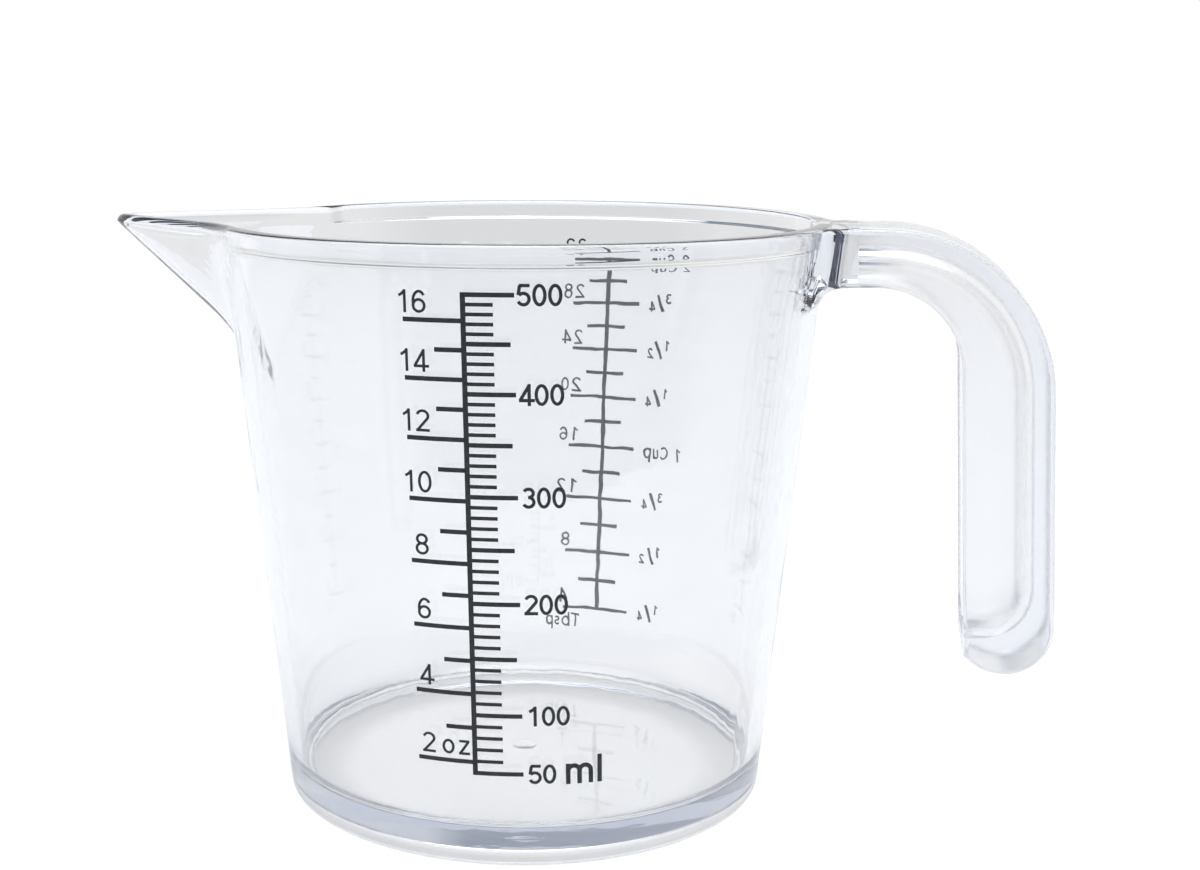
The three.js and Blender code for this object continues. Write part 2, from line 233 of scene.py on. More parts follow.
# The bowl's mesh is fine in rows and columns along the spout and round the handle's root.
SPOUT_ZONE_LOW = HEIGHT - 1.9 * SPOUT_DEPTH
PLAIN_ROWS, SPOUT_ROWS, BAND_ROWS, TOP_ROWS = 10, 40, 4, 12
NOSE_STEP = math.radians(0.25)
SPOUT_STEP = math.radians(0.45)
BLEND_STEP = math.radians(1.2)
PLAIN_STEP = math.radians(2.4)
STEP_GROWTH = 1.12
ROOT_ZONE_ANGLE = math.radians(155)


def bowl_profile(angle):
    """Closed section of the bowl at one angle, as radius and height, from the underside's centre."""
    share = smoothstep(BAND_END_ANGLE, BAND_FULL_ANGLE, abs(angle))
    recess = outer_radius(0) - FOOT_RING_WIDTH
    quarter = math.pi / 2
    gate_z = FOOT_HEIGHT - GATE_RISE
    points = [(0, gate_z), (GATE_RADIUS * 0.8, gate_z), (GATE_RADIUS, FOOT_HEIGHT - GATE_RISE * 0.7)]
    points += [(GATE_RADIUS, FOOT_HEIGHT), (GATE_RADIUS * 3, FOOT_HEIGHT), (recess / 2, FOOT_HEIGHT)]
    r = FOOT_INNER_RADIUS
    points += arc(recess - r, FOOT_HEIGHT - r, r, quarter, 0, 4)
    points += arc(recess + r, r, r, math.pi, 1.5 * math.pi, 4)
    e = FOOT_EDGE_RADIUS
    points += arc(outer_radius(e) - e, e, e, -quarter, 0, 8)
    f = BAND_FILLET
    zone = steps(e, SPOUT_ZONE_LOW, PLAIN_ROWS)[1:]
    zone += steps(SPOUT_ZONE_LOW, BAND_BOTTOM - f, SPOUT_ROWS)[1:]
    points += [(outer_wall(angle, z), z) for z in zone]
    under_band = arc(f, -f, f, math.pi, quarter, 4) + arc(f, f, f, -quarter, 0, 4)[1:]
    for out, up in under_band[1:]:
        points.append((outer_wall(angle, BAND_BOTTOM + up) + share * out, BAND_BOTTOM + up))
    rho = lerp(SPOUT_EDGE_RADIUS, RIM_EDGE_RADIUS, share)
    edge_z = HEIGHT - rho
    band = BAND_STEP * share
    for z in steps(BAND_BOTTOM + f, edge_z, BAND_ROWS)[1:]:
        points.append((outer_wall(angle, z) + band, z))
    outside, inside = outer_wall(angle, edge_z) + band, inner_wall(angle, edge_z)
    middle, half = (outside + inside) / 2, (outside - inside) / 2
    power = lerp(1.0, RIM_EDGE_POWER, share)
    for a in steps(0, math.pi, TOP_ROWS)[1:-1]:
        across = math.copysign(abs(math.cos(a)) ** power, math.cos(a))
        points.append((middle + half * across, edge_z + rho * math.sin(a) ** power))
    fillet_z = FLOOR_TOP + FLOOR_FILLET
    zone = steps(edge_z, SPOUT_ZONE_LOW, SPOUT_ROWS) + steps(SPOUT_ZONE_LOW, fillet_z, PLAIN_ROWS)[1:]
    points += [(inner_wall(angle, z), z) for z in zone]
    points += arc(inner_radius(fillet_z) - FLOOR_FILLET, fillet_z, FLOOR_FILLET, 0, -quarter, 8)[1:]
    points += [(inner_radius(FLOOR_TOP) * reach, FLOOR_TOP) for reach in (0.75, 0.5, 0.25)]
    points.append((0, FLOOR_TOP))
    return points


def bowl_angles():
    """Angles of the bowl's columns from the spout."""
    half, step = [0.0], NOSE_STEP
    while half[-1] < math.pi:
        half.append(half[-1] + step)
        if half[-1] < BAND_FULL_ANGLE:
            widest = SPOUT_STEP
        elif half[-1] < SPOUT_FADE_END or half[-1] > ROOT_ZONE_ANGLE:
            widest = BLEND_STEP
        else:
            widest = PLAIN_STEP
        step = min(step * STEP_GROWTH, widest)
    half = [a * math.pi / half[-1] for a in half]
    return half[:-1] + [math.pi] + [-a for a in reversed(half[1:-1])]


def make_bowl():
    angles = bowl_angles()
    profiles = [bowl_profile(a) for a in angles]
    rows = len(profiles[0]) - 2
    vertices = [(0, 0, profiles[0][0][1]), (0, 0, profiles[0][-1][1])]
    for a, profile in zip(angles, profiles):
        vertices += [(-r * math.cos(a), r * math.sin(a), z) for r, z in profile[1:-1]]
    faces = []
    for column in range(len(angles)):
        here = 2 + column * rows
        there = 2 + (column + 1) % len(angles) * rows
        faces.append((0, there, here))
        faces.append((1, here + rows - 1, there + rows - 1))
        for row in range(rows - 1):
            faces.append((here + row, there + row, there + row + 1, here + row + 1))
    return new_object("cup_moulding", vertices, faces)


# Handle
arm_underside = ARM_TOP - ARM_DEPTH
end_radius = GRIP_DEPTH + END_CORNER_RISE - math.sqrt(2 * GRIP_DEPTH * END_CORNER_RISE)
end_x = HANDLE_REACH - end_radius
end_z = HANDLE_END_Z + end_radius


def bend_centre_x(bend_z, bend_radius, depth):
    """X of the centre of a bend that runs tangent into a line parallel to the back of the grip."""
    lift = math.sin(GRIP_LEAN) * (end_z - bend_z)
    return end_x + (lift + end_radius - depth - bend_radius) / math.cos(GRIP_LEAN)


outer_bend_z = ARM_TOP - OUTER_BEND_RADIUS
outer_bend_x = bend_centre_x(outer_bend_z, OUTER_BEND_RADIUS, 0)
inner_bend_z = arm_underside - INNER_BEND_RADIUS
inner_bend_x = bend_centre_x(inner_bend_z, INNER_BEND_RADIUS, GRIP_DEPTH)


def in_grip(depth, drop):
    """A point at a depth in from the grip's back, and below the middle of its round end."""
    c, s = math.cos(GRIP_LEAN), math.sin(GRIP_LEAN)
    out = end_radius - depth
    return end_x + out * c + drop * s, end_z + out * s - drop * c


def handle_outline():
    """The handle's side view, from the top of its root round its back and end to its underside."""
    quarter = math.pi / 2
    sweep = math.acos((end_radius - GRIP_DEPTH) / end_radius)
    points = [(ROOT_END, ARM_TOP)]
    points += arc(outer_bend_x, outer_bend_z, OUTER_BEND_RADIUS, quarter, GRIP_LEAN, 36)
    points += arc(end_x, end_z, end_radius, GRIP_LEAN, GRIP_LEAN - sweep, 30)
    points += arc(inner_bend_x, inner_bend_z, INNER_BEND_RADIUS, GRIP_LEAN, quarter, 26)
    points.append((ROOT_END, arm_underside))
    return points


def hollow_outline():
    """The side view of the handle's hollow, which runs on past the open side."""
    quarter = math.pi / 2
    centre_depth = BACK_WALL + HOLLOW_END_RADIUS
    centre_drop = end_radius - HOLLOW_END_WALL - HOLLOW_END_RADIUS
    points = [in_grip(GRIP_DEPTH + HOLLOW_RUN_OUT, centre_drop + HOLLOW_END_RADIUS)]
    for a in steps(0, quarter, 16):
        points.append(in_grip(centre_depth - HOLLOW_END_RADIUS * math.sin(a),
                              centre_drop + HOLLOW_END_RADIUS * math.cos(a)))
    points += arc(outer_bend_x, outer_bend_z, OUTER_BEND_RADIUS - BACK_WALL, GRIP_LEAN, quarter, 36)
    points.append((ROOT_END, ARM_TOP - BACK_WALL))
    points.append((ROOT_END, arm_underside - HOLLOW_RUN_OUT))
    points += arc(inner_bend_x, inner_bend_z, INNER_BEND_RADIUS - HOLLOW_RUN_OUT, quarter, GRIP_LEAN, 16)
    return points


def fillet_depth(radius, distance):
    """How far a fillet of a radius has spread at a distance from the wall that it runs into."""
    return radius - math.sqrt(radius ** 2 - min(max(radius - distance, 0.0), radius) ** 2)


def root_rings():
    """Sections from the end of the hollow arm into the wall: distance from it, half width and bottom."""
    first = math.asin(1 - ROOT_START / ROOT_FILLET)
    last = math.asin(1 - ROOT_TOE / ROOT_FILLET)
    rings = []
    for turn in steps(first, last, 14):
        distance = ROOT_FILLET * (1 - math.sin(turn))
        half_width = HANDLE_HALF_WIDTH + fillet_depth(ROOT_SIDE_FLARE, distance)
        rings.append((distance, half_width, arm_underside - fillet_depth(ROOT_FILLET, distance)))
    distance, half_width, bottom = rings[-1]
    rings.append((-ROOT_SINK, half_width + ROOT_TOE, bottom - ROOT_TOE))
    return rings


def make_handle():
    """The handle without its hollow."""
    outline = handle_outline()
    across = steps(-HANDLE_HALF_WIDTH, HANDLE_HALF_WIDTH, 8)
    vertices, faces, known = [], [], {}

    def vertex(x, y, z):
        key = (round(x, 7), round(y, 7), round(z, 7))
        if key not in known:
            known[key] = len(vertices)
            vertices.append((x, y, z))
        return known[key]

    def row(point, ys):
        return [vertex(point[0], y, point[1]) for y in ys]

    def root_row(distance, half_width, z):
        ys = [y * half_width / HANDLE_HALF_WIDTH for y in across]
        reach = outer_radius(z) + distance
        return [vertex(math.sqrt(reach ** 2 - y ** 2), y, z) for y in ys]

    rows = [row(point, across) for point in outline]
    for low, high in zip(rows, rows[1:]):
        for i in range(len(across) - 1):
            faces.append((low[i], low[i + 1], high[i + 1], high[i]))
    for i in (0, -1):
        faces.append([r[i] for r in rows])

    top, bottom = rows[0], rows[-1]
    for distance, half_width, low_z in root_rings():
        new_top = root_row(distance, half_width, ARM_TOP)
        new_bottom = root_row(distance, half_width, low_z)
        for i in range(len(across) - 1):
            faces.append((top[i], top[i + 1], new_top[i + 1], new_top[i]))
            faces.append((bottom[i], new_bottom[i], new_bottom[i + 1], bottom[i + 1]))
        for i in (0, -1):
            faces.append((top[i], bottom[i], new_bottom[i], new_top[i]))
        top, bottom = new_top, new_bottom
    faces.append(top + bottom[::-1])
    return new_object("handle_form", vertices, faces)


def make_hollow():
    """The space inside the handle as a solid."""
    outline = hollow_outline()
    count = len(outline)
    half = HANDLE_HALF_WIDTH - SIDE_WALL
    vertices = [(x, y, z) for y in (-half, half) for x, z in outline]
    faces = [tuple(range(count)), tuple(range(count, 2 * count))]
    for i in range(count):
        j = (i + 1) % count
        faces.append((i, j, count + j, count + i))
    return new_object("hollow", vertices, faces)


def in_wall(v):
    return math.hypot(v.co.x - AXIS_X, v.co.y) < outer_radius(v.co.z) - ROOT_SINK / 2


def at_root_end(v):
    return v.co.x - AXIS_X < ROOT_END + 0.1 * MM


def round_edges(piece, radius, segments, stays_sharp):
    """Rounds a piece's corners, apart from the edges with both ends in the part that stays sharp."""
    bm = bmesh.new()
    bm.from_mesh(piece.data)
    corners = [e for e in bm.edges if e.calc_face_angle() > EDGE_ANGLE]
    rounded = [e for e in corners if not all(map(stays_sharp, e.verts))]
    bmesh.ops.bevel(bm, geom=rounded, offset=radius, segments=segments, profile=0.5, affect="EDGES",
                    clamp_overlap=False)
    bm.to_mesh(piece.data)
    bm.free()


def make_moulding():
    """The bowl and the handle as one seamless piece of plastic."""
    handle, hollow = make_handle(), make_hollow()
    round_edges(handle, HANDLE_EDGE_RADIUS, 4, in_wall)
    round_edges(hollow, HOLLOW_EDGE_RADIUS, 8, at_root_end)
    combine(handle, [hollow], "DIFFERENCE")
    moulding = combine(make_bowl(), [handle], "UNION")
    mesh = moulding.data
    mesh.polygons.foreach_set("use_smooth", [True] * len(mesh.polygons))
    mesh.set_sharp_from_angle(angle=SMOOTH_ANGLE)
    weighted = moulding.modifiers.new("normals", "WEIGHTED_NORMAL")
    weighted.keep_sharp = True
    apply_modifiers(moulding)
    return moulding


# Lettering. Signs are drawn for a cap height of 1, as the centre lines of strokes of half width h.
X_HEIGHT = 0.73
DIGIT_WIDTH = 0.63
DIGIT_WAIST = 0.53
SIGN_GAP = 0.08
SPACE_WIDTH = 0.3


def bow(centre_x, centre_y, radius_x, radius_y, start, end, count=16):
    """Part of an ellipse between two angles in degrees."""
    angles = [math.radians(a) for a in steps(start, end, count)]
    return [(centre_x + radius_x * math.cos(a), centre_y + radius_y * math.sin(a)) for a in angles]


def ring(centre_x, centre_y, radius_x, radius_y):
    return bow(centre_x, centre_y, radius_x, radius_y, 0, 360, 32)


def digit_strokes(h):
    top, mid = 1 - h, DIGIT_WIDTH / 2
    half = mid - h
    upper, lower = (top - DIGIT_WAIST) / 2, (DIGIT_WAIST - h) / 2
    upper_y, lower_y = top - upper, h + lower
    stem = 0.72 * DIGIT_WIDTH
    return {
        "0": [ring(mid, 0.5, half, 0.5 - h)],
        "1": [[(0.38, 0), (0.38, 1)], [(0.11, 0.73), (0.26, 0.82), (0.38, top)]],
        "2": [bow(mid, 0.71, half, 0.29 - h, 165, -35) + [(h * 1.1, h)], [(0, h), (DIGIT_WIDTH, h)]],
        "3": [bow(mid, upper_y, half * 0.9, upper, 155, -95), bow(mid, lower_y, half, lower, 95, -155)],
        "4": [[(stem, 0), (stem, 1)], [(stem, top), (h * 0.6, 0.25)], [(0, 0.25), (DIGIT_WIDTH + h, 0.25)]],
        "5": [[(0.12, top), (0.59, top)], [(0.15, top), (0.08, 0.5)],
              bow(mid - 0.01, 0.33, half + 0.01, 0.33 - h, 140, -155)],
        "6": [ring(mid, 0.32, half, 0.32 - h), bow(mid + 0.02, 0.5, half + 0.02, 0.5 - h, 38, 190)],
        "8": [ring(mid, upper_y, half * 0.88, upper), ring(mid, lower_y, half, lower)],
    }


def letter_strokes(h):
    top, x_top = 1 - h, X_HEIGHT - h
    half = X_HEIGHT / 2 - h
    arch = 0.19
    arch_y = x_top - arch
    round_x = 0.29
    return {
        "m": [[(h, 0), (h, X_HEIGHT)]] + [
            bow(x + arch, arch_y, arch, arch, 180, 0) + [(x + 2 * arch, 0)] for x in (h, h + 2 * arch)],
        "l": [[(h, 0), (h, 1)]],
        "o": [ring(round_x, X_HEIGHT / 2, round_x - h, half)],
        "z": [[(0.03, x_top), (0.5, x_top)], [(0.47, x_top), (h, h)], [(0, h), (0.52, h)]],
        "T": [[(0, top), (0.68, top)], [(0.34, 0), (0.34, top)]],
        "b": [[(h, 0), (h, 1)], ring(round_x, X_HEIGHT / 2, round_x - h, half)],
        "p": [[(h, -0.27), (h, X_HEIGHT)], ring(round_x, X_HEIGHT / 2, round_x - h, half)],
        "s": [bow(0.25, x_top - half / 2, 0.2 - h, half / 2, 30, 270)
              + bow(0.25, h + half / 2, 0.22 - h, half / 2, 90, -150)[1:]],
        "C": [bow(0.38, 0.5, 0.38 - h, 0.5 - h, 42, 318, 28)],
        "u": [[(h, X_HEIGHT), (h, h + arch)] + bow(h + arch, h + arch, arch, arch, 180, 360)
              + [(h + 2 * arch, X_HEIGHT)], [(h + 2 * arch, 0), (h + 2 * arch, X_HEIGHT)]],
        "/": [[(h, 0), (0.5, 1)]],
    }


def make_stroke(points, h):
    """A flat bar of half width h along a centre line, closed on itself where the line is."""
    closed = math.dist(points[0], points[-1]) < h / 10
    if closed:
        points = points[:-1]
    count = len(points)
    vertices = []
    for i, (x, y) in enumerate(points):
        before = points[i - 1] if closed or i else points[i]
        after = points[(i + 1) % count] if closed or i < count - 1 else points[i]
        run = math.dist(before, after)
        out_x, out_y = (before[1] - after[1]) / run * h, (after[0] - before[0]) / run * h
        for side, level in ((1, -0.5), (-1, -0.5), (-1, 0.5), (1, 0.5)):
            vertices.append((x + side * out_x, y + side * out_y, level))
    faces = []
    for i in range(count if closed else count - 1):
        here, there = 4 * i, 4 * ((i + 1) % count)
        for k in range(4):
            faces.append((here + k, here + (k + 1) % 4, there + (k + 1) % 4, there + k))
    if not closed:
        faces += [(3, 2, 1, 0), tuple(range(4 * count - 4, 4 * count))]
    return new_object("stroke", vertices, faces)


def make_signs(weight):
    """Each sign's flat solid as points and faces, with its width, for strokes of one weight."""
    signs = {}
    for sign, strokes in (digit_strokes(weight / 2) | letter_strokes(weight / 2)).items():
        made = [make_stroke(points, weight / 2) for points in strokes]
        solid = combine(made[0], made[1:], "UNION")
        points = [(v.co.x - AXIS_X, v.co.y, v.co.z) for v in solid.data.vertices]
        width = DIGIT_WIDTH if sign.isdigit() else max(p[0] for p in points)
        signs[sign] = points, [tuple(p.vertices) for p in solid.data.polygons], width
        bpy.data.objects.remove(solid)
    return signs


def text_width(text, signs, gap):
    widths = [SPACE_WIDTH if sign == " " else signs[sign][2] for sign in text]
    return sum(widths) + gap * (len(text) - 1)


def write(ink, place, text, signs, x, z, height, align=0.0, gap=SIGN_GAP):
    """Adds words to an ink mesh: align 0 starts them at x, 0.5 centres them there and 1 ends them there."""
    vertices, faces = ink
    cursor = x - align * height * text_width(text, signs, gap)
    for sign in text:
        if sign == " ":
            cursor += (SPACE_WIDTH + gap) * height
            continue
        points, sides, width = signs[sign]
        start = len(vertices)
        for px, py, level in points:
            lift = INK_PROUD if level > 0 else -INK_SINK
            vertices.append(place(cursor + px * height, z + py * height, lift))
        faces += [[start + i for i in side] for side in sides]
        cursor += (width + gap) * height


# Printed scales
def mark_height(printed_volume):
    """Level at which the tapered bowl holds a printed volume."""
    floor_radius = inner_radius(FLOOR_TOP)
    volume = printed_volume * FILL_MARGIN
    surface = (floor_radius ** 3 + 3 * TAPER * volume / math.pi) ** (1 / 3)
    return FLOOR_TOP + (surface - floor_radius) / TAPER


def front_place(x, z, lift):
    radius = outer_radius(z) + lift
    a = FRONT_SCALE_ANGLE + x / outer_radius(z)
    return radius * math.sin(a), -radius * math.cos(a), z


def back_place(x, z, lift):
    radius = outer_radius(z) + lift
    a = BACK_SCALE_ANGLE - x / outer_radius(z)
    return radius * math.sin(a), radius * math.cos(a), z


def draw_ladder(ink, place, right, left):
    """Adds a spine with ticks, as one thin solid on the wall. A tick is its height, length and width."""
    half_spine = SPINE_WIDTH / 2
    edges = [z + side * width / 2 for z, _, width in right + left for side in (-1, 1)]
    bars = [(-half_spine, half_spine, min(edges), max(edges))]
    bars += [(0, length, z - width / 2, z + width / 2) for z, length, width in right]
    bars += [(-length, 0, z - width / 2, z + width / 2) for z, length, width in left]
    xs = {x for bar in bars for x in bar[:2]}
    xs = sorted(xs | set(steps(min(xs), max(xs), 24)))
    zs = sorted({z for bar in bars for z in bar[2:]})
    vertices, faces = ink
    known = {}

    def inked(i, j):
        if not (0 <= i < len(xs) - 1 and 0 <= j < len(zs) - 1):
            return False
        x, z = (xs[i] + xs[i + 1]) / 2, (zs[j] + zs[j + 1]) / 2
        return any(b[0] < x < b[1] and b[2] < z < b[3] for b in bars)

    def vertex(i, j, lift):
        if (i, j, lift) not in known:
            known[i, j, lift] = len(vertices)
            vertices.append(place(xs[i], zs[j], lift))
        return known[i, j, lift]

    for i in range(len(xs) - 1):
        for j in range(len(zs) - 1):
            if not inked(i, j):
                continue
            corners = [(i, j), (i + 1, j), (i + 1, j + 1), (i, j + 1)]
            faces.append([vertex(*c, INK_PROUD) for c in corners])
            faces.append([vertex(*c, -INK_SINK) for c in reversed(corners)])
            beside = [(i, j - 1), (i + 1, j), (i, j + 1), (i - 1, j)]
            for k in range(4):
                if not inked(*beside[k]):
                    a, b = corners[k], corners[(k + 1) % 4]
                    faces.append([vertex(*a, -INK_SINK), vertex(*b, -INK_SINK),
                                  vertex(*b, INK_PROUD), vertex(*a, INK_PROUD)])


# Front scale: weights are shares of the sign's height, and X runs from the middle of the spine.
LONG_WIDTH, SHORT_WIDTH = 0.70 * MM, 0.56 * MM
ML_LONG, ML_MIDDLE, ML_SHORT = 7.5 * MM, 6.85 * MM, 4.4 * MM
ML_WEIGHT = 0.152
ML_DIGIT, ML_LETTER = 3.3 * MM, 4.75 * MM
ML_LOW_X, ML_HIGH_X = 8.3 * MM, 7.8 * MM
ML_UNIT_X, ML_UNIT_DROP = 14.1 * MM, 0.2 * MM
OZ_LONG, OZ_SHORT = 9.2 * MM, 4.45 * MM
OZ_WEIGHT = 0.122
OZ_DIGIT, OZ_DIGIT_RISE = 3.4 * MM, 1.0 * MM
OZ_PAIR_X, OZ_SINGLE_X = -5.55 * MM, -6.35 * MM
OZ_UNIT_X, OZ_UNIT_RISE = -5.2 * MM, 1.1 * MM


def make_front_scale():
    """Millilitres to the right of the spine and fluid ounces to its left."""
    ink = [], []
    millilitres, ounces = [], []
    for volume in range(50, 501, 10):
        z = mark_height(volume * MILLILITRE)
        if volume % 100 == 0 or volume == 50:
            millilitres.append((z, ML_LONG, LONG_WIDTH))
        elif volume % 50 == 0:
            millilitres.append((z, ML_MIDDLE, LONG_WIDTH))
        else:
            millilitres.append((z, ML_SHORT, SHORT_WIDTH))
    for volume in range(2, 17):
        length = OZ_LONG if volume % 2 == 0 else OZ_SHORT
        ounces.append((mark_height(volume * FLUID_OUNCE), length, LONG_WIDTH))
    draw_ladder(ink, front_place, millilitres, ounces)

    signs = make_signs(ML_WEIGHT)
    for volume in (50, 100, 200, 300, 400, 500):
        z = mark_height(volume * MILLILITRE) - ML_DIGIT / 2
        x = lerp(ML_LOW_X, ML_HIGH_X, volume / 500)
        write(ink, front_place, str(volume), signs, x, z, ML_DIGIT, gap=0.06)
    z = mark_height(50 * MILLILITRE) - ML_DIGIT / 2 - ML_UNIT_DROP
    write(ink, front_place, "ml", signs, ML_UNIT_X, z, ML_LETTER, gap=0.15)

    signs = make_signs(OZ_WEIGHT)
    for volume in range(2, 17, 2):
        z = mark_height(volume * FLUID_OUNCE) + OZ_DIGIT_RISE
        x = OZ_PAIR_X if volume > 9 else OZ_SINGLE_X
        write(ink, front_place, str(volume), signs, x, z, OZ_DIGIT, align=1)
    z = mark_height(2 * FLUID_OUNCE) + OZ_UNIT_RISE
    write(ink, front_place, "oz", signs, OZ_UNIT_X, z, OZ_DIGIT, gap=0.2)
    return new_object("front_scale_print", *ink)


# Back scale
BACK_TICK_WIDTH = 0.62 * MM
SPOON_LONG, SPOON_SHORT = 7.2 * MM, 4.1 * MM
CUP_LONG, CUP_SHORT = 6.9 * MM, 3.9 * MM
BACK_WEIGHT, FRACTION_WEIGHT = 0.135, 0.18
SPOON_DIGIT, SPOON_DIGIT_RISE = 2.75 * MM, 0.9 * MM
SPOON_UNIT_X, SPOON_UNIT_DROP = 3.6 * MM, 3.9 * MM
CUP_DIGIT = 2.65 * MM
CUP_EDGE = -9.3 * MM
FRACTION_DIGIT = 2.0 * MM
FRACTION_WIDTH = 5.1 * MM
OVER_RISE, UNDER_DROP = 0.5 * MM, 1.2 * MM
SLASH_HEIGHT, SLASH_DROP, SLASH_INSET = 3.3 * MM, 1.1 * MM, 2.6 * MM


def write_fraction(ink, signs, over, under, z):
    """A raised figure, a slash and a lowered figure beside a tick at a height."""
    write(ink, back_place, under, signs, CUP_EDGE, z - UNDER_DROP, FRACTION_DIGIT, align=1)
    write(ink, back_place, "/", signs, CUP_EDGE - SLASH_INSET, z - SLASH_DROP, SLASH_HEIGHT, align=0.5)
    write(ink, back_place, over, signs, CUP_EDGE - FRACTION_WIDTH, z + OVER_RISE, FRACTION_DIGIT)


def make_back_scale():
    """Tablespoons to the right of the spine and cups to its left, as seen from behind."""
    ink = [], []
    spoons, cups = [], []
    for volume in range(4, 33, 2):
        z = mark_height(volume * TABLESPOON)
        long = volume % 4 == 0
        spoons.append((z, SPOON_LONG if long else SPOON_SHORT, BACK_TICK_WIDTH))
        cups.append((z, CUP_LONG if long else CUP_SHORT, BACK_TICK_WIDTH))
    draw_ladder(ink, back_place, spoons, cups)

    signs, small_signs = make_signs(BACK_WEIGHT), make_signs(FRACTION_WEIGHT)
    quarters = {4: "14", 8: "12", 12: "34", 16: "1 Cup", 20: "14", 24: "12", 28: "34", 32: "2 Cup"}
    for volume, cup in quarters.items():
        z = mark_height(volume * TABLESPOON)
        write(ink, back_place, str(volume), signs, SPOON_LONG, z + SPOON_DIGIT_RISE, SPOON_DIGIT,
              align=0.5, gap=0.24)
        if volume % 16 == 0:
            write(ink, back_place, cup, signs, CUP_EDGE, z - CUP_DIGIT / 2, CUP_DIGIT, align=1, gap=0.2)
        else:
            write_fraction(ink, small_signs, *cup, z)
    z = mark_height(4 * TABLESPOON) - SPOON_UNIT_DROP
    write(ink, back_place, "Tbsp", signs, SPOON_UNIT_X, z, CUP_DIGIT, gap=0.13)
    return new_object("back_scale_print", *ink)


# Materials
def node(tree, kind, x, y, **inputs):
    made = tree.nodes.new(kind)
    made.location = (x, y)
    for key, value in inputs.items():
        made.inputs[key.replace("_", " ")].default_value = value
    return made


def colour_mix(tree, x, y, blend="MIX", **colours):
    """A mix of two colours, A and B, where those that aren't given are linked in later."""
    made = node(tree, "ShaderNodeMix", x, y)
    made.data_type = "RGBA"
    made.blend_type = blend
    for key, value in colours.items():
        made.inputs[key].default_value = value
    return made


def colour_ramp(tree, x, y, tones):
    """A colour ramp with a tone at each position."""
    made = node(tree, "ShaderNodeValToRGB", x, y)
    stops = made.color_ramp.elements
    while len(stops) < len(tones):
        stops.new(0.5)
    for stop, (position, tone) in zip(stops, tones):
        stop.position, stop.color = position, tone
    return made


def grey(value):
    return value, value, value, 1


def new_material(name):
    material = bpy.data.materials.new(name)
    material.use_nodes = True
    tree = material.node_tree
    return material, tree, tree.nodes["Principled BSDF"]


def mottle(tree, y, scale, low, high):
    """A noise over the object that wanders between two values."""
    coords = node(tree, "ShaderNodeTexCoord", -1000, y)
    noise = node(tree, "ShaderNodeTexNoise", -800, y, Scale=scale, Detail=3.0)
    spread = node(tree, "ShaderNodeMapRange", -550, y, From_Min=0.3, From_Max=0.7,
                  To_Min=low, To_Max=high)
    tree.links.new(coords.outputs["Object"], noise.inputs["Vector"])
    tree.links.new(noise.outputs["Fac"], spread.inputs["Value"])
    return spread.outputs["Result"]


def ripple(tree, shader, y, scale, distance):
    """Bump from a noise, with its height in metres."""
    bump = node(tree, "ShaderNodeBump", -300, y, Strength=1.0, Distance=distance)
    tree.links.new(mottle(tree, y, scale, 0.0, 1.0), bump.inputs["Height"])
    tree.links.new(bump.outputs["Normal"], shader.inputs["Normal"])


# Beyond its root the grip has a fine etch, and its colour is painted a little lighter than the bowl's, as
# painted light.
ETCH_FADE = 4.0 * MM
GRIP_ROUGHNESS = 0.2
BOWL_TINT, GRIP_PAINTED_LIGHT_TINT = 0.95, 0.985


def clear_plastic():
    """Clear styrene with a faint ripple and haze, a grip with a fine etch whose colour is painted lighter
    as painted light, and a cold tint where it is thick.
    """
    material, tree, shader = new_material("clear_plastic")
    output = tree.nodes["Material Output"]
    shader.inputs["Transmission Weight"].default_value = 1.0
    shader.inputs["IOR"].default_value = 1.57
    coords = node(tree, "ShaderNodeTexCoord", -1000, 500)
    place = node(tree, "ShaderNodeSeparateXYZ", -800, 500)
    etch_and_painted_light = node(tree, "ShaderNodeMapRange", -550, 500, From_Min=AXIS_X + ROOT_END,
                  From_Max=AXIS_X + ROOT_END + ETCH_FADE)
    # The grip's colour is painted lighter than the bowl's: painted light, not a clearer plastic.
    tint = colour_mix(tree, -250, 500, A=grey(BOWL_TINT), B=grey(GRIP_PAINTED_LIGHT_TINT))
    haze = node(tree, "ShaderNodeMath", -250, 300)
    haze.operation = "MULTIPLY_ADD"
    haze.inputs[1].default_value = GRIP_ROUGHNESS
    tree.links.new(coords.outputs["Object"], place.inputs[0])
    tree.links.new(place.outputs["X"], etch_and_painted_light.inputs["Value"])
    tree.links.new(etch_and_painted_light.outputs["Result"], tint.inputs["Factor"])
    tree.links.new(tint.outputs["Result"], shader.inputs["Base Color"])
    tree.links.new(etch_and_painted_light.outputs["Result"], haze.inputs[0])
    tree.links.new(mottle(tree, 200, scale=90.0, low=0.0, high=0.03), haze.inputs[2])
    tree.links.new(haze.outputs["Value"], shader.inputs["Roughness"])
    ripple(tree, shader, -100, scale=70.0, distance=0.02 * MM)
    clear = node(tree, "ShaderNodeBsdfTransparent", 0, -300, Color=(0.99, 0.991, 0.992, 1))
    path = node(tree, "ShaderNodeLightPath", 0, 300)
    mix = node(tree, "ShaderNodeMixShader", 300, 0)
    tree.links.new(path.outputs["Is Shadow Ray"], mix.inputs[0])
    tree.links.new(shader.outputs["BSDF"], mix.inputs[1])
    tree.links.new(clear.outputs["BSDF"], mix.inputs[2])
    tree.links.new(mix.outputs["Shader"], output.inputs["Surface"])
    volume = node(tree, "ShaderNodeVolumeAbsorption", 0, -500, Color=(0.25, 0.33, 0.50, 1), Density=8.5)
    tree.links.new(volume.outputs["Volume"], output.inputs["Volume"])
    return material


